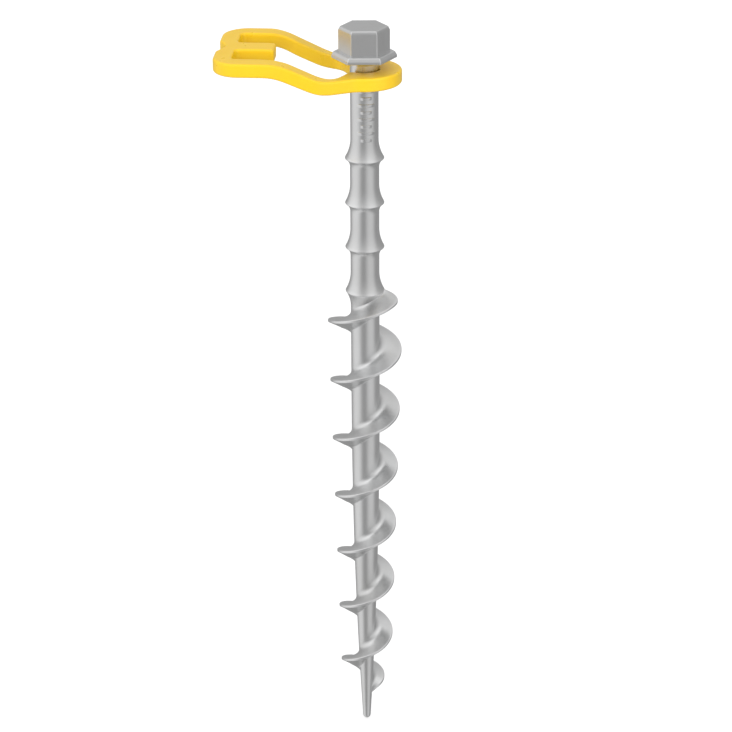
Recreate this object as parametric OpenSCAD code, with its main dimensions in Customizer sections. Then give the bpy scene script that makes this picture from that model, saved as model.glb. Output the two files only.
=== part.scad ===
// Screw-in tent stake with a swivelling moulded hook.
// Z runs up the axis of the stake, with the tip of the screw at the origin.
// The front flat of the hexagon faces -Y, and the hook points roughly along -X.

/* [Stake] */
// Overall height from the tip to the top of the hexagon
stake_length = 300; // [299:0.5:305]
// Diameter of the plain neck that carries the hook
neck_d = 10.8; // [10:0.1:11]
// Diameter of the waists between the ridges and of the upper screw core
waist_d = 11.2; // [10.8:0.1:11.6]
// Diameter of the blunt tip
tip_d = 3; // [2.4:0.1:4]
// Height over which the core narrows to the tip
taper_height = 150; // [120:1:170]

/* [Head] */
// Hexagon size across flats
hex_af = 17; // [16:0.5:18]
// Height of the hexagon above the flange
hex_height = 9.7; // [8:0.1:11]
// Height of the bevel round the top of the hexagon
hex_bevel_h = 1.45; // [1:0.05:2]
// Inset of that bevel on each flat
hex_bevel_w = 0.65; // [0.4:0.05:1]
// Flange size across flats at its widest
flange_af = 21.6; // [20:0.1:23]
// Thickness of the flange
flange_t = 2.5; // [2:0.1:3]
// Height of the bevel round the top of the flange
flange_bevel_h = 1.5; // [1:0.1:1.8]
// Inset of that bevel on each flat
flange_bevel_w = 0.75; // [0.5:0.05:1]
// Radius of the fillet between the flange and the neck
neck_fillet = 2.2; // [1:0.1:2.5]

/* [Ridges] */
// Diameter over a ridge
ridge_d = 15.3; // [14:0.1:16]
// Height of the highest ridge
ridge_top_z = 248.2; // [246:0.1:250]
// Distance from one ridge to the next
ridge_pitch = 18.1; // [17.5:0.05:18.4]
// Height of the long flare above a ridge
flare_above = 7.7; // [6:0.1:9]
// Height of the short fillet below a ridge
flare_below = 3.6; // [3:0.1:5]
// Height of the longer fillet below the lowest ridge
flare_last = 6.8; // [5:0.1:8]

/* [Flight] */
// Distance from one turn of the helix to the next
flight_pitch = 25.4; // [24:0.1:25.6]
// Height of the flight's rim where its first turn begins
flight_top_z = 193.8; // [193:0.1:195]
// Radius of the flight's rim at the top
flight_r_top = 15; // [13:0.1:16]
// Radius of the flight's rim at the bottom of the last full turn
flight_r_bottom = 10.1; // [8:0.1:12]
// Thickness of the flight at its rim
rim_t = 1; // [0.6:0.1:1.6]
// Height of the flight's root above the middle of its rim
root_up = 2.3; // [2:0.1:2.6]
// Depth of the flight's root below the middle of its rim
root_down = 4.6; // [4:0.1:5]

/* [Hook] */
// Height of the hook's top face round the neck
hook_top_z = 283.6; // [281:0.1:284.6]
// Thickness of the hook
hook_t = 5.3; // [4.5:0.1:6]
// Radial gap between the neck and its seat
seat_gap = 0.3; // [0.2:0.05:0.4]
// Outer radius of the hook round the neck
ring_r = 14.3; // [13:0.1:15]
// Distance from the stake's axis to the far end of the hook
hook_reach = 55.3; // [54:0.1:57]
// Half of the hook's greatest width
hook_half_w = 24.7; // [24:0.1:26]
// Width of each arm at the broad end
arm_w = 7.8; // [7:0.1:8]
// Width of the throat that the neck snaps through
throat_w = 9.4; // [8.8:0.1:10.4]
// Width of the tongue
tongue_w = 9.8; // [9:0.1:12]
// Distance from the stake's axis to the tongue's tip
tongue_tip_x = 33.6; // [32:0.1:35]
// Distance from the stake's axis to the closed ends of the slots
slot_end_x = 48.2; // [47:0.1:49]
// Height by which the broad end stands above the ring
hook_rise = 8; // [6:0.1:9]
// Angle by which the hook is turned from -X towards +Y when at rest
hook_turn = 4; // [0:0.5:8]

/* [Hidden] */

CAST_METAL = [0.67, 0.68, 0.68];
SIGNAL_YELLOW = [0.98, 0.80, 0.14];
FINE = 96;           // facets round the smooth cylinders
ARC_STEP = 9;        // degrees between the points of a rounded corner
OVERLAP = 1;         // how far joined shapes run into each other
ridge_count = 4;     // sharp collars below the neck

neck_r = neck_d / 2;
waist_r = waist_d / 2;
ridge_r = ridge_d / 2;
tip_r = tip_d / 2;
flange_top_z = stake_length - hex_height;
flange_low_z = flange_top_z - flange_t;
ridge_z = [for (i = [0 : ridge_count - 1]) ridge_top_z - i * ridge_pitch];

// Flight, counted in turns from the height flight_top_z, downwards
flight_steps = 36;   // rings in each turn
start_turn = -0.012; // where the flight leaves the last ridge
start_ramp = 0.115;  // turns taken to reach the full radius
end_turn = 7.09;     // where the flight has run out into the core
end_ramp = 0.29;     // turns taken to run out
buried = 0.5;        // depth of the flight's two ends inside the core
root_depth = 0.9;    // depth of the flight's root inside the core
web_at = 0.22;       // share of the flight's width at which its root fillet ends
web_up = 1.1;        // height of the flight's top there, above the middle of its rim
web_down = 3.5;      // depth of its underside there
rim_slope = (flight_r_top - flight_r_bottom) / 7;

// Hook
seat_r = neck_r + seat_gap;
ring_corner_r = ring_r - 0.01;  // a hair less than a full quarter circle
ring_end_x = 2;      // where the hook begins to spread from the ring
flank_x = 15.5;      // corner between the spreading flanks and the straighter ones
flank_half_w = 21.2;
shoulder_x = 28;     // corners of the bulge towards the broad end
shoulder_half_w = 22.4;
bulge_x = 36.5;
throat_lip_x = 5.3;  // end of the throat's parallel sides
opening_half_w = 14.6;
opening_near_x = 10.3;
opening_far_x = 27;  // where the opening begins to spread into the slots
slot_near_x = 35;    // where the slots reach their full width
inner_half_w = hook_half_w - arm_w;
ramp_start_x = 14;   // foot of the slope that lifts the broad end
ramp_end_x = 32.3;   // head of that slope
ramp_bend_r = 20;    // inner radius of both bends of the slope
ramp_angle = atan(hook_rise / (ramp_end_x - ramp_start_x));
bend_shift = hook_t * tan(ramp_angle / 2);
notch_depth = 3.2;   // depth of the V in the broad end
notch_half_w = 7.2;  // half of the V's mouth
hook_tall = 40;      // more than the height of the whole hook
hook_long = 90;      // more than its length and its width

// ---- Helpers -------------------------------------------------------------

// Points of one polygon corner p[i] = [x, y, radius], rounded between its
// neighbours a and b.
function corner(a, p, b) =
    let (
        u = [a.x - p.x, a.y - p.y] / norm([a.x - p.x, a.y - p.y]),
        v = [b.x - p.x, b.y - p.y] / norm([b.x - p.x, b.y - p.y]),
        half = acos(max(-1, min(1, u * v))) / 2,
        centre = [p.x, p.y] + (u + v) / norm(u + v) * p.z / sin(half),
        from = [p.x, p.y] + u * p.z / tan(half) - centre,
        sweep = 180 - 2 * half,
        hand = sign(u.y * v.x - u.x * v.y),
        count = max(1, ceil(sweep / ARC_STEP))
    )
    p.z == 0 ? [[p.x, p.y]] :
    [for (i = [0 : count])
        let (w = hand * sweep * i / count)
        centre + [from.x * cos(w) - from.y * sin(w), from.x * sin(w) + from.y * cos(w)]];

// A closed outline of [x, y, radius] corners as plain points.
function rounded(pts) =
    let (n = len(pts))
    [for (i = [0 : n - 1]) each corner(pts[(i + n - 1) % n], pts[i], pts[(i + 1) % n])];

// The upper half of an outline, and its mirror image taken backwards.
function both_sides(half) =
    concat(half, [for (i = [len(half) - 1 : -1 : 0]) [half[i].x, -half[i].y, half[i].z]]);

// A hexagonal prism, one flat towards -Y, standing on z = 0.
module hex_prism(af, h) {
    cylinder(r = af / sqrt(3), h = h, $fn = 6);
}

// A hexagonal prism whose top edge is bevelled on all six flats.
module bevelled_hex(af, h, bevel_w, bevel_h) {
    tilt = atan(bevel_w / bevel_h);
    difference() {
        hex_prism(af, h);
        for (i = [0 : 5])
            rotate([0, 0, 30 + 60 * i])
                translate([af / 2, 0, h - bevel_h])
                    rotate([0, -tilt, 0])
                        translate([0, -af, 0])
                            cube([af, 2 * af, 4 * bevel_h]);
    }
}

// ---- Stake ---------------------------------------------------------------

// Radius of the screw's core at height z.
function core_r(z) =
    z >= taper_height ? waist_r :
    waist_r - (waist_r - tip_r) * pow((taper_height - z) / taper_height, 2.1);

// A concave arc from the radius r0 at z0, where it runs straight up or down,
// out to the radius r1 at z1.
function flare(r0, z0, r1, z1, steps) =
    let (
        w = r1 - r0, h = z1 - z0,
        big = (h * h + w * w) / (2 * w),
        full = asin(abs(h) / big)
    )
    [for (i = [0 : steps])
        let (q = full * i / steps)
        [r0 + big * (1 - cos(q)), z0 + sign(h) * big * sin(q)]];

function reversed(list) = [for (i = [len(list) - 1 : -1 : 0]) list[i]];

// Silhouette of one ridge from below to above, where below is the height of its
// lower fillet and r_high the radius above it.
function ridge(z, below, r_high) = concat(
    flare(waist_r, z - below, ridge_r, z, 5),
    reversed(flare(r_high, z + flare_above, ridge_r, z, 8))
);

core_rings = 26;     // points down the narrowing core
tip_round = 1.3;     // height of the tip's rounding
shank_outline = concat(
    [for (a = [0 : 18 : 72]) [tip_r * sin(a), tip_round * (1 - cos(a))]],
    [for (i = [0 : core_rings])
        let (z = tip_round + (taper_height - tip_round) * pow(i / core_rings, 1.25))
        [core_r(z), z]],
    [for (i = [ridge_count - 1 : -1 : 0])
        each ridge(
            ridge_z[i],
            i == ridge_count - 1 ? flare_last : flare_below,
            i == 0 ? neck_r : waist_r)],
    flare(neck_r, flange_low_z - neck_fillet, neck_r + neck_fillet, flange_low_z, 5),
    [[neck_r + neck_fillet, flange_low_z + OVERLAP], [0, flange_low_z + OVERLAP]]
);

// Share of its full width that the flight has, t turns below its start height.
function flight_ramp(t) =
    sin(90 * max(0, min(1, (t - start_turn) / start_ramp, (end_turn - t) / end_ramp)));

function flight_ring(t) =
    let (
        z = flight_top_z - t * flight_pitch,
        a = -360 * t,
        core = core_r(z),
        base = core - buried,
        rim = base + (flight_r_top - t * rim_slope - base) * flight_ramp(t),
        web = core + (rim - core) * web_at,
        inner = core - root_depth,
        section = [
            [inner, -root_down], [web, -web_down], [rim, -rim_t / 2],
            [rim, rim_t / 2], [web, web_up], [inner, root_up]
        ]
    )
    [for (p = section) [p.x * cos(a), p.x * sin(a), z + p.y]];

// A closed solid through a list of rings with the same number of points.
module loft(rings) {
    n = len(rings[0]);
    last = len(rings) - 1;
    polyhedron(
        points = [for (r = rings) each r],
        faces = concat(
            [[for (j = [0 : n - 1]) j]],
            [for (i = [0 : last - 1], j = [0 : n - 1])
                [i * n + j, (i + 1) * n + j, (i + 1) * n + (j + 1) % n]],
            [for (i = [0 : last - 1], j = [0 : n - 1])
                [i * n + j, (i + 1) * n + (j + 1) % n, i * n + (j + 1) % n]],
            [[for (j = [n - 1 : -1 : 0]) last * n + j]]
        ),
        convexity = 12
    );
}

module flight() {
    turns = end_turn - start_turn;
    count = ceil(turns * flight_steps);
    loft([for (i = [0 : count]) flight_ring(start_turn + turns * i / count)]);
}

module stake() {
    color(CAST_METAL)
    union() {
        rotate_extrude($fn = FINE)
            polygon(shank_outline);
        flight();
        translate([0, 0, flange_low_z])
            bevelled_hex(flange_af, flange_t, flange_bevel_w, flange_bevel_h);
        translate([0, 0, flange_low_z])
            bevelled_hex(hex_af, flange_t + hex_height, hex_bevel_w, hex_bevel_h);
    }
}

// ---- Hook ----------------------------------------------------------------

// The outline seen from above, with distances from the axis along +X. Each
// corner of an outline is [x, y, radius].
module hook_plan() {
    difference() {
        polygon(rounded(concat(both_sides([
            [hook_reach, notch_half_w, 2],
            [hook_reach, hook_half_w, 10],
            [bulge_x, hook_half_w, 12],
            [shoulder_x, shoulder_half_w, 15],
            [flank_x, flank_half_w, 10],
            [ring_end_x, ring_r, 8],
            [-ring_r, ring_r, ring_corner_r]
        ]), [[hook_reach - notch_depth, 0, 2.5]])));
        hook_opening();
        circle(r = seat_r, $fn = FINE);
    }
}

// The keyhole opening, the throat and the slots on both sides of the tongue.
module hook_opening() {
    polygon(rounded(concat(both_sides([
        [0, throat_w / 2, 0],
        [throat_lip_x, throat_w / 2, 0.8],
        [opening_near_x, opening_half_w, 6],
        [opening_far_x, opening_half_w, 10],
        [slot_near_x, inner_half_w, 8],
        [slot_end_x, inner_half_w, 2.2],
        [slot_end_x, tongue_w / 2, 2.2],
        [tongue_tip_x, tongue_w / 2, 1]
    ]))));
}

// The hook seen from its side: level round the neck, a slope, and level again.
module hook_side() {
    low = ramp_bend_r;
    high = ramp_bend_r + hook_t;
    polygon(rounded([
        [-hook_long, 0, 0],
        [ramp_start_x, 0, low],
        [ramp_end_x, hook_rise, high],
        [hook_long, hook_rise, 0],
        [hook_long, hook_rise - hook_t, 0],
        [ramp_end_x + bend_shift, hook_rise - hook_t, low],
        [ramp_start_x + bend_shift, -hook_t, high],
        [-hook_long, -hook_t, 0]
    ]));
}

module hook() {
    color(SIGNAL_YELLOW)
    translate([0, 0, hook_top_z])
        rotate([0, 0, 180 - hook_turn])
            intersection() {
                translate([0, 0, -hook_tall / 2])
                    linear_extrude(height = hook_tall) hook_plan();
                rotate([90, 0, 0])
                    translate([0, 0, -hook_long / 2])
                        linear_extrude(height = hook_long) hook_side();
            }
}

stake();
hook();
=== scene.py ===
"""Looks for the screw-in tent stake: the cast stake and its moulded yellow hook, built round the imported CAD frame.

Lengths are in millimetres and turn into metres where a mesh is made. Z runs up the stake from its tip, and the hook
lies in the plane of its own outline with +X towards its broad end until it is turned into place.
"""

import math

import bmesh
import bpy
import numpy as np
from mathutils import Matrix, Vector
from mathutils.geometry import delaunay_2d_cdt


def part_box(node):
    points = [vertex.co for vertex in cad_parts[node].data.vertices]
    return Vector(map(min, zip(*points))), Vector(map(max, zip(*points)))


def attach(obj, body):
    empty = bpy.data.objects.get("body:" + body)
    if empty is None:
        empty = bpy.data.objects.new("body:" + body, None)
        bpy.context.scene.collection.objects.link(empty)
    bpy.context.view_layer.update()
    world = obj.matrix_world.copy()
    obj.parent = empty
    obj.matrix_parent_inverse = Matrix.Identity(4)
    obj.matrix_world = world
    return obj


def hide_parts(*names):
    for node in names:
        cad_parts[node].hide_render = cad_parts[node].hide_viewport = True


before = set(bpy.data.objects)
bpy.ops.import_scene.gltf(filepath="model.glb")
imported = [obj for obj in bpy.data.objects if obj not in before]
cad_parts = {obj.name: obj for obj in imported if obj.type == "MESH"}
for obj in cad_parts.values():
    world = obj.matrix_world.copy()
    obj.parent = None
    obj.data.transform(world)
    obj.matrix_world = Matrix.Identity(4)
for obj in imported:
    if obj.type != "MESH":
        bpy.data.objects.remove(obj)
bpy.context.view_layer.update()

MM = 0.001

# ---- Driving dimensions, which repeat the CAD model's ------------------------------------------------------------

STAKE_LOW, STAKE_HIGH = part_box("stake")
STAKE_LENGTH = (STAKE_HIGH.z - STAKE_LOW.z) / MM

NECK_R = 5.4
WAIST_R = 5.6
TIP_R = 1.5
TIP_ROUND = 1.3
TAPER_HEIGHT = 150
TAPER_POWER = 2.1

HEX_AF = 17
HEX_HEIGHT = 9.7
HEX_BEVEL_H, HEX_BEVEL_W = 1.45, 0.65
FLANGE_AF = 21.6
FLANGE_T = 2.5
FLANGE_BEVEL_H, FLANGE_BEVEL_W = 1.5, 0.75
FLANGE_TOP_Z = STAKE_LENGTH - HEX_HEIGHT
FLANGE_LOW_Z = FLANGE_TOP_Z - FLANGE_T
NECK_FILLET = 2.2
CAST_EDGE = 0.32       # rounding of the head's cast edges
CAST_EDGE_STEPS = 4
BEVEL_FROM_ANGLE = math.radians(25)   # edges sharper than this are rounded
HEAD_BURIED = 0.6      # height above the flange's underside at which the head starts, inside the flange

RIDGE_COUNT = 4
RIDGE_R = 7.65
RIDGE_TOP_Z = 248.2
RIDGE_PITCH = 18.1
FLARE_ABOVE = 7.7
FLARE_BELOW = 3.6
FLARE_LAST = 6.8       # the fillet below the lowest ridge
RIDGE_EDGE = 0.3       # rounding of a ridge's edge
RIDGE_Z = [RIDGE_TOP_Z - i * RIDGE_PITCH for i in range(RIDGE_COUNT)]

FLIGHT_PITCH = 25.4
FLIGHT_TOP_Z = 193.8
FLIGHT_R_TOP = 15
FLIGHT_R_SLOPE = 0.7   # loss of radius in each turn
RIM_T = 1.0
RIM_EDGE = 0.3         # rounding of the rim's two edges
RIM_STEPS = 4
START_TURN, START_RAMP = -0.012, 0.115
END_TURN, END_RAMP = 7.09, 0.29
BURIED = 0.5           # depth of the flight's two ends inside the core
WEB_AT = 0.40          # share of the flight's width where the root fillets end
WEB_UP, WEB_DOWN = 1.1, 3.4
ROOT_UP, ROOT_DOWN = 4.0, 5.6
ROOT_DEPTH = 0.9       # depth of the fillets' feet inside the core
ROOT_STEPS = 10
SKIN = 0.02            # depth at which the fillets and the bars leave the surface they stand on
THIN_END = 0.35        # share of its full depth that the underside has at the flight's two ends

TICK_COUNT = 8         # raised bars on the neck
TICK_LOW_Z, TICK_PITCH = 256.6, 2.75
TICK_MIDDLE = math.radians(-82)
TICK_LONG, TICK_SHORT = math.radians(40), math.radians(24)
TICK_RISE, TICK_DEPTH = 0.4, 0.4
TICK_LOW, TICK_FACE, TICK_TOP = -0.75, -0.1, 0.6   # foot of a bar's slope, foot of its face, and its top
TICK_BEVEL = 0.12
TICK_STEPS = 24

_, HOOK_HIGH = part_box("hook")
HOOK_T = 5.3
HOOK_RISE = 8
HOOK_TOP_Z = HOOK_HIGH.z / MM - HOOK_RISE
SEAT_R = NECK_R + 0.3
RING_R = 14.3
HOOK_REACH = 55.3
HOOK_HALF_W = 24.7
ARM_W = 7.8
THROAT_HALF_W = 4.7
TONGUE_HALF_W = 4.9
TONGUE_TIP_X = 33.6
SLOT_END_X = 48.2
NOTCH_DEPTH, NOTCH_HALF_W = 3.2, 7.2
HOOK_TURN = math.radians(4)
RAMP_START_X, RAMP_END_X = 14, 32.3
RAMP_BEND_R = 20
HOOK_EDGE = 0.95       # rounding of the hook's edges
HOOK_EDGE_STEPS = 7
BULGE_X = 36.5
SHOULDER_X, SHOULDER_HALF_W = 28, 22.4
FLANK_X, FLANK_HALF_W = 15.5, 21.2
RING_END_X = 2         # where the ring's round end runs into the arms
THROAT_LIP_X = 5.3
LIP_R = 1.0            # rounding of the throat's two lips
OPENING_NEAR_X, OPENING_FAR_X, OPENING_HALF_W = 10.3, 27, 14.6
SLOT_NEAR_X = 35
SLOT_CORNER_R = 2.2
LONGEST_EDGE = 1.2     # longest straight step of the hook's outline
FACE_SPACING = 1.4     # distance between the points of its flat faces

COLUMNS = 144          # facets round the stake
TURN = 2 * math.pi


# ---- Outlines ----------------------------------------------------------------------------------------------------

def arc_corner(a, p, b, radius, step=math.radians(6), count=None):
    """Points of the corner p of an outline, rounded to radius between its neighbours a and b, in steps of an angle
    or in a count of equal steps."""
    a, p, b = (np.array(q[:2], float) for q in (a, p, b))
    u, v = (a - p) / np.linalg.norm(a - p), (b - p) / np.linalg.norm(b - p)
    if radius <= 0 or abs(u[0] * v[1] - u[1] * v[0]) < 1e-6:
        return [p]
    half = math.acos(max(-1.0, min(1.0, float(u @ v)))) / 2
    centre = p + (u + v) / np.linalg.norm(u + v) * radius / math.sin(half)
    start = p + u * radius / math.tan(half) - centre
    sweep = (math.pi - 2 * half) * (1 if u[1] * v[0] - u[0] * v[1] > 0 else -1)
    count = count or max(2, math.ceil(abs(sweep) / step))
    return [centre + turned(start, sweep * i / count) for i in range(count + 1)]


def turned(p, angle):
    c, s = math.cos(angle), math.sin(angle)
    return np.array([p[0] * c - p[1] * s, p[0] * s + p[1] * c])


def rounded(corners):
    """A closed outline of (x, y, radius) corners as plain points."""
    n = len(corners)
    return [q for i in range(n)
            for q in arc_corner(corners[i - 1], corners[i], corners[(i + 1) % n], corners[i][2])]


def with_mirror(half):
    """The upper half of an outline followed by its mirror image taken backwards."""
    return half + [(x, -y, r) for x, y, r in reversed(half)]


def split_long(points, longest):
    """The same closed outline with no straight stretch longer than longest."""
    out = []
    for i in range(len(points)):
        a, b = points[i], points[(i + 1) % len(points)]
        count = max(1, math.ceil(np.linalg.norm(b - a) / longest))
        out += [a + (b - a) * j / count for j in range(count)]
    return out


def bezier(p0, p1, p2, count):
    """Points of a quadratic curve from p0 to p2, both ends included."""
    p0, p1, p2 = (np.array(p, float) for p in (p0, p1, p2))
    return [(1 - t) ** 2 * p0 + 2 * t * (1 - t) * p1 + t * t * p2 for t in np.linspace(0, 1, count + 1)]


# ---- Meshes ------------------------------------------------------------------------------------------------------

def make_object(name, points, faces):
    """A new object from points in millimetres and faces, with doubled points joined and its faces turned outwards."""
    mesh = bpy.data.meshes.new(name)
    mesh.from_pydata([tuple(float(c) * MM for c in p) for p in points], [], faces)
    bm = bmesh.new()
    bm.from_mesh(mesh)
    bmesh.ops.remove_doubles(bm, verts=bm.verts, dist=1e-6)
    bmesh.ops.dissolve_degenerate(bm, edges=bm.edges, dist=1e-7)
    bmesh.ops.recalc_face_normals(bm, faces=bm.faces)
    bm.to_mesh(mesh)
    bm.free()
    obj = bpy.data.objects.new(name, mesh)
    bpy.context.scene.collection.objects.link(obj)
    return obj


def loft(name, rings):
    """A closed skin through rings that all have the same number of points."""
    n = len(rings[0])
    faces = [(i * n + j, i * n + (j + 1) % n, (i + 1) * n + (j + 1) % n, (i + 1) * n + j)
             for i in range(len(rings) - 1) for j in range(n)]
    faces += [tuple(range(n)), tuple((len(rings) - 1) * n + j for j in range(n))]
    return make_object(name, [p for ring in rings for p in ring], faces)


def applied(obj):
    """Applies all of an object's modifiers to its mesh."""
    evaluated = obj.evaluated_get(bpy.context.evaluated_depsgraph_get())
    mesh = bpy.data.meshes.new_from_object(evaluated)
    obj.modifiers.clear()
    obj.data = mesh
    return obj


def bevelled(obj, width, segments):
    """The object with its sharp edges rounded to width."""
    m = obj.modifiers.new("edges", "BEVEL")
    m.width = width * MM
    m.segments = segments
    m.limit_method = "ANGLE"
    m.angle_limit = BEVEL_FROM_ANGLE
    return applied(obj)


def merged(name, objects):
    """One object that holds the closed skins of several."""
    bm = bmesh.new()
    for obj in objects:
        bm.from_mesh(obj.data)
        bpy.data.objects.remove(obj)
    mesh = bpy.data.meshes.new(name)
    bm.to_mesh(mesh)
    bm.free()
    obj = bpy.data.objects.new(name, mesh)
    bpy.context.scene.collection.objects.link(obj)
    return obj


def shade(obj, sharp_angle):
    """Smooth shading, with faces of a flat side kept flat."""
    mesh = obj.data
    mesh.polygons.foreach_set("use_smooth", [True] * len(mesh.polygons))
    mesh.set_sharp_from_angle(angle=math.radians(sharp_angle))
    m = obj.modifiers.new("flat_sides", "WEIGHTED_NORMAL")
    m.keep_sharp = True
    m.weight = 60


# ---- Stake -------------------------------------------------------------------------------------------------------

def core_r(z):
    """Radius of the stake's core at height z."""
    if z >= TAPER_HEIGHT:
        return WAIST_R
    return WAIST_R - (WAIST_R - TIP_R) * ((TAPER_HEIGHT - z) / TAPER_HEIGHT) ** TAPER_POWER


def flare(r0, z0, r1, z1, steps):
    """A concave arc from radius r0 at z0, where it runs straight up or down, out to radius r1 at z1."""
    w, h = r1 - r0, z1 - z0
    big = (h * h + w * w) / (2 * w)
    full = math.asin(abs(h) / big)
    return [(r0 + big * (1 - math.cos(full * i / steps)),
             z0 + math.copysign(big * math.sin(full * i / steps), h)) for i in range(steps + 1)]


def ridge_outline(z, below, r_high):
    """One ridge from its lower fillet to the top of its long flare, with a slightly rounded edge."""
    low = flare(WAIST_R, z - below, RIDGE_R, z, 12)
    high = flare(r_high, z + FLARE_ABOVE, RIDGE_R, z, 18)[::-1]
    edge = arc_corner(low[-2], low[-1], high[1], RIDGE_EDGE, math.radians(20))
    return low[:-2] + [tuple(p) for p in edge] + high[2:]


def shank_outline():
    """Radius and height down the whole shank, from the tip to inside the flange."""
    points = [(TIP_R * math.sin(a), TIP_ROUND * (1 - math.cos(a))) for a in np.linspace(0, math.pi / 2, 9)[1:-1]]
    points += [(core_r(z), z) for z in TIP_ROUND + (TAPER_HEIGHT - TIP_ROUND) * np.linspace(0, 1, 110) ** 1.2]
    for i in reversed(range(RIDGE_COUNT)):
        below = FLARE_LAST if i == RIDGE_COUNT - 1 else FLARE_BELOW
        points += ridge_outline(RIDGE_Z[i], below, NECK_R if i == 0 else WAIST_R)
    points += flare(NECK_R, FLANGE_LOW_Z - NECK_FILLET, NECK_R + NECK_FILLET, FLANGE_LOW_Z, 8)
    return points + [(NECK_R + NECK_FILLET, FLANGE_LOW_Z + 1)]


def shank():
    rings = [[(r * math.cos(TURN * j / COLUMNS), r * math.sin(TURN * j / COLUMNS), z) for j in range(COLUMNS)]
             for r, z in shank_outline()]
    return loft("shank", rings)


def flight_ramp(t):
    """Share of its full width that the flight has, t turns below its start height."""
    return math.sin(math.pi / 2 * max(0, min(1, (t - START_TURN) / START_RAMP, (END_TURN - t) / END_RAMP)))


def flight_rim(t):
    """Radius of the flight's rim, t turns down."""
    base = core_r(FLIGHT_TOP_Z - t * FLIGHT_PITCH) - BURIED
    return base + (FLIGHT_R_TOP - t * FLIGHT_R_SLOPE - base) * flight_ramp(t)


def flight_section(t):
    """Radius and height, from the middle of the rim, of the flight's outline t turns down."""
    z = FLIGHT_TOP_Z - t * FLIGHT_PITCH
    root_down = ROOT_DOWN * (THIN_END + (1 - THIN_END) * flight_ramp(t))
    core, above, below = core_r(z), core_r(z + ROOT_UP), core_r(z - root_down)
    rim = flight_rim(t)
    web = core + (rim - core) * WEB_AT
    inner = core - ROOT_DEPTH
    half = RIM_T / 2
    web_down = WEB_DOWN * (THIN_END + (1 - THIN_END) * flight_ramp(t))
    top = bezier((above - SKIN, ROOT_UP), (above, WEB_UP + (WEB_UP - half) * WEB_AT), (web, WEB_UP), ROOT_STEPS)
    low = bezier((web, -web_down), (core, -web_down - (web_down - half) * WEB_AT),
                 (below - SKIN, -root_down), ROOT_STEPS)
    edges = arc_corner((web, WEB_UP), (rim, half), (rim, -half), RIM_EDGE, count=RIM_STEPS)
    edges += arc_corner((rim, half), (rim, -half), (web, -web_down), RIM_EDGE, count=RIM_STEPS)
    across = [np.array([rim + (web - rim) * s, half + (WEB_UP - half) * s]) for s in (0.75, 0.5, 0.25)]
    back = [np.array([rim + (web - rim) * s, -half - (web_down - half) * s]) for s in (0.25, 0.5, 0.75)]
    return [np.array([inner, ROOT_UP])] + top + across + edges + back + low + [np.array([inner, -root_down])]


def flight():
    steps = round((END_TURN - START_TURN) * COLUMNS)
    rings = []
    for i in range(steps + 1):
        t = START_TURN + (END_TURN - START_TURN) * i / steps
        a, z = -TURN * t, FLIGHT_TOP_Z - t * FLIGHT_PITCH
        rings.append([(r * math.cos(a), r * math.sin(a), z + h) for r, h in flight_section(t)])
    return loft("flight", rings)


def tick(z, half_turn):
    """A low raised bar round part of the neck."""
    rings = []
    for i in range(TICK_STEPS + 1):
        share = i / TICK_STEPS
        a = TICK_MIDDLE + half_turn * (2 * share - 1)
        rise = TICK_RISE * min(1, 4 * share, 4 * (1 - share))
        outline = [(NECK_R - TICK_DEPTH, TICK_LOW), (NECK_R - SKIN, TICK_LOW), (NECK_R + rise, TICK_FACE),
                   (NECK_R + rise, TICK_TOP - TICK_BEVEL), (NECK_R - SKIN, TICK_TOP),
                   (NECK_R - TICK_DEPTH, TICK_TOP)]
        rings.append([(r * math.cos(a), r * math.sin(a), z + h) for r, h in outline])
    return loft("tick", rings)


def ticks():
    """A plain scale of raised bars on the neck, long and short by turns."""
    return [tick(TICK_LOW_Z + i * TICK_PITCH, TICK_LONG if i % 2 else TICK_SHORT) for i in range(TICK_COUNT)]


def hexagon(af, z):
    """One flat faces -Y."""
    r = af / math.sqrt(3)
    return [(r * math.cos(TURN * j / 6), r * math.sin(TURN * j / 6), z) for j in range(6)]


def hex_block(name, af, z_low, z_high, bevel_w, bevel_h):
    rings = [hexagon(af, z_low), hexagon(af, z_high - bevel_h), hexagon(af - 2 * bevel_w, z_high)]
    return bevelled(loft(name, rings), CAST_EDGE, CAST_EDGE_STEPS)


def stake():
    head = hex_block("head", HEX_AF, FLANGE_LOW_Z + HEAD_BURIED, STAKE_LENGTH, HEX_BEVEL_W, HEX_BEVEL_H)
    flange = hex_block("flange", FLANGE_AF, FLANGE_LOW_Z, FLANGE_TOP_Z, FLANGE_BEVEL_W, FLANGE_BEVEL_H)
    casting = merged("stake_casting", [shank(), flight(), flange, head] + ticks())
    shade(casting, 38)
    return casting


# ---- Hook --------------------------------------------------------------------------------------------------------

def outer_outline():
    """The hook's outer edge, as corners with their rounding, from the notch in the broad end to the ring."""
    return rounded(with_mirror([
        (HOOK_REACH, NOTCH_HALF_W, 2),
        (HOOK_REACH, HOOK_HALF_W, 10),
        (BULGE_X, HOOK_HALF_W, 12),
        (SHOULDER_X, SHOULDER_HALF_W, 15),
        (FLANK_X, FLANK_HALF_W, 10),
        (RING_END_X, RING_R, 8),
        (-RING_R, RING_R, RING_R - 0.01),
    ]) + [(HOOK_REACH - NOTCH_DEPTH, 0, 2.5)])


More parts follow.
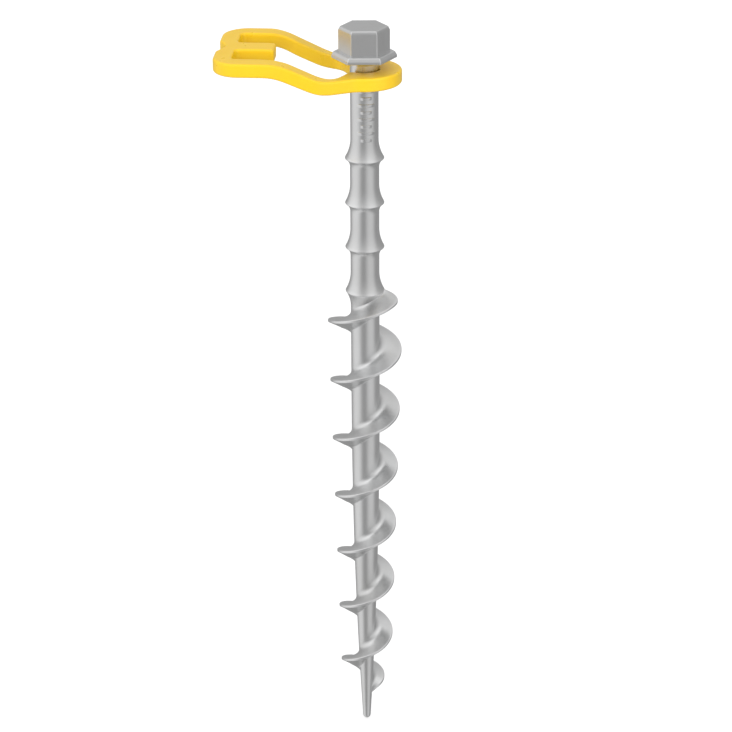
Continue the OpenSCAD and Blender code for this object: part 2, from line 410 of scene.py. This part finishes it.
def inner_outline():
    """The seat round the neck, the throat's two lips, the opening and the slots beside the tongue, as one loop."""
    inner_half_w = HOOK_HALF_W - ARM_W
    opening = rounded(with_mirror([
        (0, THROAT_HALF_W, 0),
        (THROAT_LIP_X, THROAT_HALF_W, 1.0),
        (OPENING_NEAR_X, OPENING_HALF_W, 6),
        (OPENING_FAR_X, OPENING_HALF_W, 10),
        (SLOT_NEAR_X, inner_half_w, 8),
        (SLOT_END_X, inner_half_w, SLOT_CORNER_R),
        (SLOT_END_X, TONGUE_HALF_W, SLOT_CORNER_R),
        (TONGUE_TIP_X, TONGUE_HALF_W, 1.0),
    ]))
    lip_x = math.sqrt((SEAT_R + LIP_R) ** 2 - (THROAT_HALF_W + LIP_R) ** 2)
    lip_angle = math.atan2(THROAT_HALF_W + LIP_R, lip_x)
    seat = [SEAT_R * np.array([math.cos(a), math.sin(a)])
            for a in np.linspace(TURN - lip_angle, lip_angle, 60)]
    centre = np.array([lip_x, THROAT_HALF_W + LIP_R])
    upper = [centre + LIP_R * np.array([math.cos(a), math.sin(a)])
             for a in np.linspace(lip_angle + math.pi, 1.5 * math.pi, 8)[1:]]
    lower = [np.array([x, -y]) for x, y in reversed(upper)]
    return seat + upper + opening[1:-1] + lower


def signed_area(points):
    p = np.array(points)
    q = np.roll(p, -1, axis=0)
    return float((p[:, 0] * q[:, 1] - q[:, 0] * p[:, 1]).sum()) / 2


def outward(points):
    """Unit vectors that point from the hook's material out of it, for a loop whose material is on its left."""
    p = np.array(points)
    side = np.roll(p, -1, axis=0) - np.roll(p, 1, axis=0)
    side /= np.linalg.norm(side, axis=1)[:, None]
    return np.stack([side[:, 1], -side[:, 0]], axis=1)


def side_profiles():
    """Heights of the hook's top and bottom along X, as two lists of points."""
    angle = math.atan(HOOK_RISE / (RAMP_END_X - RAMP_START_X))
    shift = HOOK_T * math.tan(angle / 2)
    far = 100
    top = [(-far, 0), (RAMP_START_X, 0, RAMP_BEND_R), (RAMP_END_X, HOOK_RISE, RAMP_BEND_R + HOOK_T), (far, HOOK_RISE)]
    low = [(-far, -HOOK_T), (RAMP_START_X + shift, -HOOK_T, RAMP_BEND_R + HOOK_T),
           (RAMP_END_X + shift, HOOK_RISE - HOOK_T, RAMP_BEND_R), (far, HOOK_RISE - HOOK_T)]
    out = []
    for line in (top, low):
        points = [line[0]]
        for i in (1, 2):
            points += [tuple(q) for q in arc_corner(line[i - 1], line[i], line[i + 1], line[i][2], math.radians(2))]
        out.append(np.array(points + [line[3]]))
    return out


def inside(points, p):
    """Whether p lies inside a closed outline."""
    a = np.array(points)
    b = np.roll(a, -1, axis=0)
    crosses = (a[:, 1] > p[1]) != (b[:, 1] > p[1])
    with np.errstate(divide="ignore", invalid="ignore"):
        x = a[:, 0] + (p[1] - a[:, 1]) * (b[:, 0] - a[:, 0]) / (b[:, 1] - a[:, 1])
    return bool((crosses & (p[0] < x)).sum() % 2)


def face_triangles(outer, inner, spacing):
    """Triangles between two loops, with extra points inside, as (points, triangles)."""
    loops = [np.array(outer), np.array(inner)]
    border = np.concatenate(loops)
    extra = []
    low, high = loops[0].min(0), loops[0].max(0)
    for i, y in enumerate(np.arange(low[1], high[1], spacing * 0.866)):
        for x in np.arange(low[0] + (i % 2) * spacing / 2, high[0], spacing):
            p = np.array([x, y])
            near = np.linalg.norm(border - p, axis=1).min()
            if near > spacing * 0.6 and inside(outer, p) and not inside(inner, p):
                extra.append(p)
    points = [Vector(p) for p in border] + [Vector(p) for p in extra]
    n, m = len(outer), len(inner)
    edges = [(i, (i + 1) % n) for i in range(n)] + [(n + i, n + (i + 1) % m) for i in range(m)]
    verts, _, faces, *_ = delaunay_2d_cdt(points, edges, [], 1, 1e-7)
    kept = [f for f in faces if not inside(inner, sum((verts[i] for i in f), Vector((0, 0))) / 3)]
    return verts, kept


def hook():
    """The joggled plate: two flat faces, walls, and a rounded edge between them all the way round."""
    loops = [split_long(outline, LONGEST_EDGE) for outline in (outer_outline(), inner_outline())]
    if signed_area(loops[0]) < 0:
        loops[0].reverse()
    if signed_area(loops[1]) > 0:
        loops[1].reverse()
    out = [outward(loop) for loop in loops]
    top_line, low_line = side_profiles()
    points, faces = [], []

    def place(x, y, from_top=None, from_low=None):
        """A point of the turned and joggled hook from its place in the plan and its depth under one face."""
        top, low = np.interp(x, *top_line.T), np.interp(x, *low_line.T)
        z = top - from_top if from_top is not None else low + from_low
        px, py = turned((x, y), math.pi - HOOK_TURN)
        points.append((px, py, HOOK_TOP_Z + z))
        return len(points) - 1

    # Inset and depth of each row down the wall. The middle row stops just short of half the thickness.
    steps = np.linspace(0, math.pi / 2, HOOK_EDGE_STEPS)
    levels = [(HOOK_EDGE * (1 - math.sin(a)), HOOK_EDGE * (1 - math.cos(a)), True) for a in steps]
    levels += [(0, HOOK_EDGE + (HOOK_T / 2 - HOOK_EDGE) * 0.999, True)]
    levels += [(HOOK_EDGE * (1 - math.sin(a)), HOOK_EDGE * (1 - math.cos(a)), False) for a in reversed(steps)]
    flats = {True: [], False: []}
    for loop, normal in zip(loops, out):
        rows = []
        for inset, depth, upper in levels:
            ring = [p - n * inset for p, n in zip(loop, normal)]
            if inset == HOOK_EDGE:
                flats[upper].append(ring)
            rows.append([place(x, y, **({"from_top": depth} if upper else {"from_low": depth})) for x, y in ring])
        count = len(loop)
        for upper_row, lower_row in zip(rows, rows[1:]):
            faces += [(upper_row[j], lower_row[j], lower_row[(j + 1) % count], upper_row[(j + 1) % count])
                      for j in range(count)]
    for upper, rings in flats.items():
        verts, triangles = face_triangles(rings[0], rings[1], FACE_SPACING)
        key = "from_top" if upper else "from_low"
        ids = [place(v.x, v.y, **{key: 0}) for v in verts]
        faces += [tuple(ids[i] for i in (f if upper else reversed(f))) for f in triangles]
    plate = make_object("hook_moulding", points, faces)
    shade(plate, 50)
    return plate


# ---- Materials ---------------------------------------------------------------------------------------------------

class Shader:
    """Short names for building a node material."""

    def __init__(self, name):
        self.material = bpy.data.materials.new(name)
        self.material.use_nodes = True
        self.tree = self.material.node_tree
        self.main = self.tree.nodes["Principled BSDF"]
        self.place = self.tree.nodes.new("ShaderNodeTexCoord").outputs["Object"]

    def set(self, **values):
        for key, value in values.items():
            self.main.inputs[key.replace("_", " ")].default_value = value

    def link(self, source, target):
        self.tree.links.new(source, self.main.inputs[target])

    def node(self, kind, inputs=None, **settings):
        n = self.tree.nodes.new(kind)
        for key, value in settings.items():
            setattr(n, key, value)
        for key, value in (inputs or {}).items():
            if isinstance(value, bpy.types.NodeSocket):
                self.tree.links.new(value, n.inputs[key])
            else:
                n.inputs[key].default_value = value
        return n

    def noise(self, scale, detail=3, rough=0.5, stretch=None):
        place = self.place
        if stretch:
            place = self.node("ShaderNodeMapping", {"Vector": place, "Scale": stretch}).outputs[0]
        return self.node("ShaderNodeTexNoise", {"Vector": place, "Scale": scale, "Detail": detail,
                                                "Roughness": rough}).outputs[0]

    def fit(self, value, low, high, to_low, to_high):
        return self.node("ShaderNodeMapRange", {"Value": value, "From Min": low, "From Max": high,
                                                "To Min": to_low, "To Max": to_high}).outputs[0]

    def mix(self, factor, a, b):
        n = self.node("ShaderNodeMix", data_type="RGBA")
        for socket, value in ((n.inputs[0], factor), (n.inputs[6], a), (n.inputs[7], b)):
            if isinstance(value, bpy.types.NodeSocket):
                self.tree.links.new(value, socket)
            else:
                socket.default_value = value
        return n.outputs[2]

    def bump(self, height, strength, distance, before=None):
        inputs = {"Height": height, "Strength": strength, "Distance": distance * MM}
        if before is not None:
            inputs["Normal"] = before
        return self.node("ShaderNodeBump", inputs).outputs[0]


def cast_metal():
    """Satin die-cast aluminium: a faint grain, slow stains, fine pits, and polish where edges rub."""
    s = Shader("cast_aluminium")
    s.set(Metallic=1.0)
    stain = s.noise(60, 4, 0.6, (1, 1, 0.35))
    speck = s.noise(900, 2, 0.5)
    wear = s.node("ShaderNodeAttribute", attribute_name="edge_wear").outputs["Fac"]
    base = s.mix(s.fit(stain, 0.3, 0.7, 0, 1), (0.69, 0.69, 0.685, 1), (0.76, 0.765, 0.77, 1))
    base = s.mix(wear, base, (0.88, 0.88, 0.885, 1))
    s.link(base, "Base Color")
    rough = s.fit(stain, 0.3, 0.7, 0.36, 0.29)
    rough = s.node("ShaderNodeMath", {0: rough, 1: s.fit(speck, 0.3, 0.7, -0.03, 0.03)}, operation="ADD").outputs[0]
    s.link(rough, "Roughness")
    slow = s.bump(s.noise(260, 2, 0.5), 0.25, 0.12)
    fine = s.bump(s.noise(1600, 3, 0.6), 0.22, 0.03, slow)
    s.link(fine, "Normal")
    return s.material


def yellow_plastic():
    """Glossy moulded plastic: slight flow marks, a faint texture, and a little light inside."""
    s = Shader("yellow_plastic")
    s.set(IOR=1.5, Subsurface_Weight=0.05, Subsurface_Scale=1.2 * MM, Subsurface_Radius=(1.0, 0.45, 0.08))
    flow = s.noise(45, 3, 0.55, (0.6, 1.6, 1))
    base = s.mix(s.fit(flow, 0.3, 0.7, 0, 1), (0.93, 0.585, 0.012, 1), (0.96, 0.625, 0.018, 1))
    s.link(base, "Base Color")
    s.link(s.fit(s.noise(160, 2), 0.3, 0.7, 0.27, 0.33), "Roughness")
    slow = s.bump(flow, 0.08, 0.15)
    fine = s.bump(s.noise(2600, 2, 0.5), 0.04, 0.002, slow)
    s.link(fine, "Normal")
    return s.material


WEAR_REACH = 1.2       # distance from an edge at which its wear ends
WEAR_MOST = 0.6


def edge_wear(obj):
    """Stores how much each point of the casting is rubbed bright, from how near it lies to a worn edge."""
    values = []
    for v in obj.data.vertices:
        x, y, z = v.co / MM
        r = math.hypot(x, y)
        near = min(math.hypot(r - RIDGE_R, z - ridge) for ridge in RIDGE_Z)
        t = (-math.atan2(y, x) / TURN) % 1
        turn = round((FLIGHT_TOP_Z - z) / FLIGHT_PITCH - t) + t
        if START_TURN < turn < END_TURN:
            near = min(near, math.hypot(r - flight_rim(turn), z - FLIGHT_TOP_Z + turn * FLIGHT_PITCH))
        values.append(max(0.0, 1 - near / WEAR_REACH) * WEAR_MOST)
    layer = obj.data.attributes.new("edge_wear", "FLOAT", "POINT")
    layer.data.foreach_set("value", values)


# ---- Studio ------------------------------------------------------------------------------------------------------

CAMERA_ELEVATION = math.radians(23.5855)
CAMERA_ROLL = math.radians(-0.2377)
CAMERA_DISTANCE = 991.8
CAMERA_AIM = Vector((0.22, 0, 161.3))
CAMERA_LENS = 123.26


def camera():
    data = bpy.data.cameras.new("camera")
    data.sensor_width = 36
    data.lens = CAMERA_LENS
    data.clip_start, data.clip_end = 0.01, 100
    obj = bpy.data.objects.new("camera", data)
    bpy.context.scene.collection.objects.link(obj)
    c, s = math.cos(CAMERA_ELEVATION), math.sin(CAMERA_ELEVATION)
    look, right, up = Vector((0, c, -s)), Vector((1, 0, 0)), Vector((0, s, c))
    right, up = (right * math.cos(CAMERA_ROLL) + up * math.sin(CAMERA_ROLL),
                 up * math.cos(CAMERA_ROLL) - right * math.sin(CAMERA_ROLL))
    turn = Matrix((right, up, -look)).transposed()
    obj.matrix_world = Matrix.Translation((CAMERA_AIM - look * CAMERA_DISTANCE) * MM) @ turn.to_4x4()
    bpy.context.scene.camera = obj


FLOOR_HALF = 30.0      # metres, as are the other distances of the studio
FLOOR_GAP = 0.0002
FLOOR_GREY = 0.45
FLOOR_GLOW = 0.62      # what the floor adds for the camera alone


def floor():
    """A pale floor that the camera sees as nearly white. The metal mirrors the studio instead of it."""
    mesh = bpy.data.meshes.new("floor")
    corners = [(-FLOOR_HALF, -FLOOR_HALF, 0), (FLOOR_HALF, -FLOOR_HALF, 0),
               (FLOOR_HALF, FLOOR_HALF, 0), (-FLOOR_HALF, FLOOR_HALF, 0)]
    mesh.from_pydata(corners, [], [(0, 1, 2, 3)])
    obj = bpy.data.objects.new("floor", mesh)
    bpy.context.scene.collection.objects.link(obj)
    obj.location.z = STAKE_LOW.z - FLOOR_GAP
    obj.visible_glossy = False
    s = Shader("pale_floor")
    s.set(Base_Color=(FLOOR_GREY, FLOOR_GREY, FLOOR_GREY, 1), Roughness=1.0, Specular_IOR_Level=0.0,
          Emission_Color=(1, 1, 1, 1))
    path = s.node("ShaderNodeLightPath").outputs
    glow = s.node("ShaderNodeMath", {0: path["Is Camera Ray"], 1: FLOOR_GLOW}, operation="MULTIPLY")
    s.link(glow.outputs[0], "Emission Strength")
    mesh.materials.append(s.material)


# A soft dome that brightens overhead, two tall soft panels on either side of the camera, and three soft lamps
DOME = [(-1.0, 0.34), (0.0, 0.38), (0.5, 0.55), (1.0, 0.9)]  # sine of the elevation, brightness
PANELS = ((-80, 60, 0.5), (45, 45, 0.35))  # degrees from the camera towards +X, half width in degrees, brightness
LAMPS = (("key", (-0.7, -1.9, 0.5), 1.0, 21), ("fill", (1.3, -1.2, 0.6), 1.0, 8),
         ("back", (0.0, 1.6, 1.0), 1.4, 8))        # name, place, size and watts
LAMPS_AIM = Vector((0, 0, 0.15))


def ramp(nodes, links, value, low, high, stops):
    """A line through (value, result) stops. The colours hold half of each result, so results may reach 2."""
    fit = nodes.new("ShaderNodeMapRange")
    fit.inputs["From Min"].default_value, fit.inputs["From Max"].default_value = low, high
    links.new(value, fit.inputs["Value"])
    curve = nodes.new("ShaderNodeValToRGB")
    curve.color_ramp.interpolation = "LINEAR"
    points = curve.color_ramp.elements
    while len(points) < len(stops):
        points.new(0.5)
    for point, (at, result) in zip(points, stops):
        point.position = (at - low) / (high - low)
        point.color = (result / 2, result / 2, result / 2, 1)
    links.new(fit.outputs[0], curve.inputs[0])
    return math_node(nodes, links, "MULTIPLY", curve.outputs["Color"], 2)


def math_node(nodes, links, operation, *values):
    n = nodes.new("ShaderNodeMath")
    n.operation = operation
    for socket, value in zip(n.inputs, values):
        if isinstance(value, bpy.types.NodeSocket):
            links.new(value, socket)
        else:
            socket.default_value = value
    return n.outputs[0]


def studio_light():
    """White for the camera, and for everything else a soft dome, two soft panels and three soft lamps."""
    world = bpy.data.worlds.new("studio")
    bpy.context.scene.world = world
    world.use_nodes = True
    nodes, links = world.node_tree.nodes, world.node_tree.links

    def calc(operation, *values):
        return math_node(nodes, links, operation, *values)

    place = nodes.new("ShaderNodeTexCoord").outputs["Generated"]
    split = nodes.new("ShaderNodeSeparateXYZ")
    links.new(place, split.inputs[0])
    x, y, z = split.outputs
    azimuth = calc("ARCTAN2", x, calc("MULTIPLY", y, -1))
    studio = ramp(nodes, links, z, -1, 1, DOME)
    for middle, half_width, brightness in PANELS:
        panel = nodes.new("ShaderNodeMapRange")
        panel.interpolation_type = "SMOOTHSTEP"
        panel.inputs["From Min"].default_value = math.cos(math.radians(half_width))
        panel.inputs["To Max"].default_value = brightness
        links.new(calc("COSINE", calc("SUBTRACT", azimuth, math.radians(middle))), panel.inputs["Value"])
        studio = calc("ADD", studio, panel.outputs[0])
    path = nodes.new("ShaderNodeLightPath").outputs
    links.new(calc("MAXIMUM", path["Is Camera Ray"], studio), nodes["Background"].inputs["Strength"])
    nodes["Background"].inputs["Color"].default_value = (1, 1, 1, 1)
    for name, place, size, power in LAMPS:
        lamp = bpy.data.lights.new(name, "AREA")
        lamp.size = size
        lamp.energy = power
        obj = bpy.data.objects.new(name, lamp)
        bpy.context.scene.collection.objects.link(obj)
        obj.location = place
        obj.rotation_euler = (LAMPS_AIM - Vector(place)).to_track_quat("-Z", "Y").to_euler()
        obj.visible_glossy = obj.visible_camera = False
    view = bpy.context.scene.view_settings
    view.view_transform = "Standard"
    view.look = "None"


# ---- The scene ---------------------------------------------------------------------------------------------------

camera()
floor()
studio_light()

casting = stake()
edge_wear(casting)
casting.data.materials.append(cast_metal())
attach(casting, "stake")
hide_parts("stake")

moulding = hook()
moulding.data.materials.append(yellow_plastic())
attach(moulding, "hook")
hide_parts("hook")
